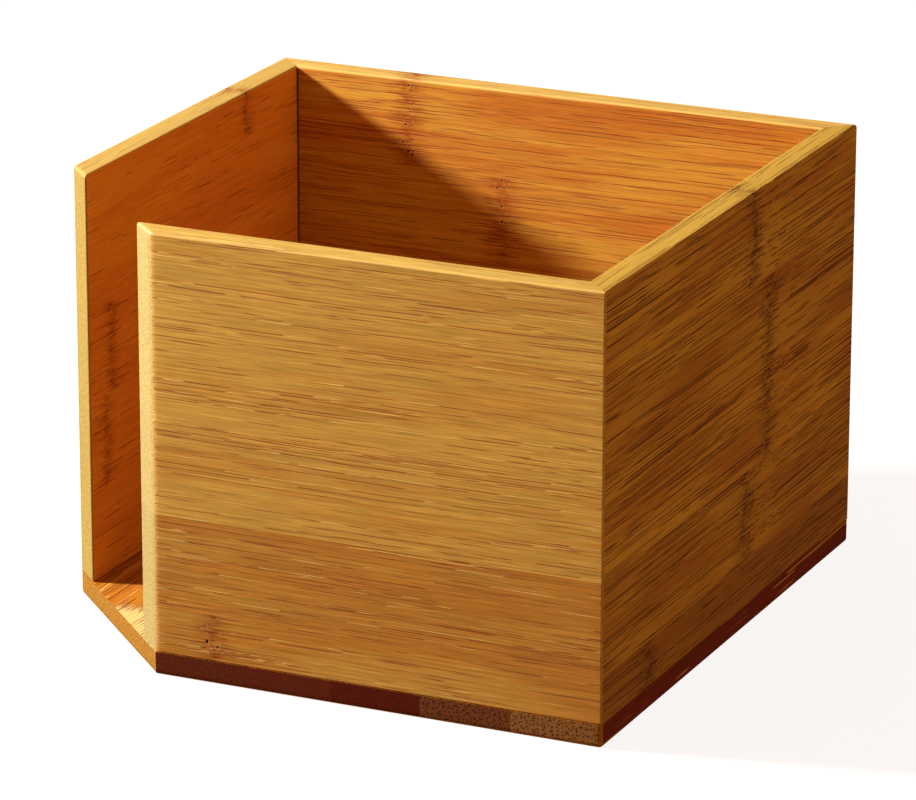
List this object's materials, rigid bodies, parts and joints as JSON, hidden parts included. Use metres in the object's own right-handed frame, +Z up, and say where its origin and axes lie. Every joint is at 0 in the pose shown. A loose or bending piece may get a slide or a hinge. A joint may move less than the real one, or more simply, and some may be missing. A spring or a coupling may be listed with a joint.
{
  "type": "desk note box",
  "caption": "Square open-topped bamboo box with mitred walls of glued strips on a strip base, one corner cut off at 45 degrees and left open so that the contents can be gripped.",
  "frame": {"origin": "centre of the underside's bounding rectangle, at the height of the surface that the box stands on", "axes": "+Z up; the front wall faces -Y; +X runs to the right along the front wall; the open corner is at -X -Y"},
  "size_m": [0.11, 0.11, 0.076],
  "materials": {
    "wall_strips": "carbonised bamboo, sanded, thin satin lacquer",
    "base_strips": "carbonised bamboo, sanded, thin satin lacquer"
  },
  "bodies": {
    "root": {"front_wall_strip_1": "wall_strips", "front_wall_strip_2": "wall_strips", "front_wall_strip_3": "wall_strips", "front_wall_strip_4": "wall_strips", "front_wall_strip_5": "wall_strips", "right_wall_strip_1": "wall_strips", "right_wall_strip_2": "wall_strips", "right_wall_strip_3": "wall_strips", "right_wall_strip_4": "wall_strips", "right_wall_strip_5": "wall_strips", "back_wall_strip_1": "wall_strips", "back_wall_strip_2": "wall_strips", "back_wall_strip_3": "wall_strips", "back_wall_strip_4": "wall_strips", "back_wall_strip_5": "wall_strips", "left_wall_strip_1": "wall_strips", "left_wall_strip_2": "wall_strips", "left_wall_strip_3": "wall_strips", "left_wall_strip_4": "wall_strips", "left_wall_strip_5": "wall_strips", "base_strip_1": "base_strips", "base_strip_2": "base_strips", "base_strip_3": "base_strips", "base_strip_4": "base_strips", "base_strip_5": "base_strips", "base_strip_6": "base_strips", "base_strip_7": "base_strips"}
  },
  "joints": []
}
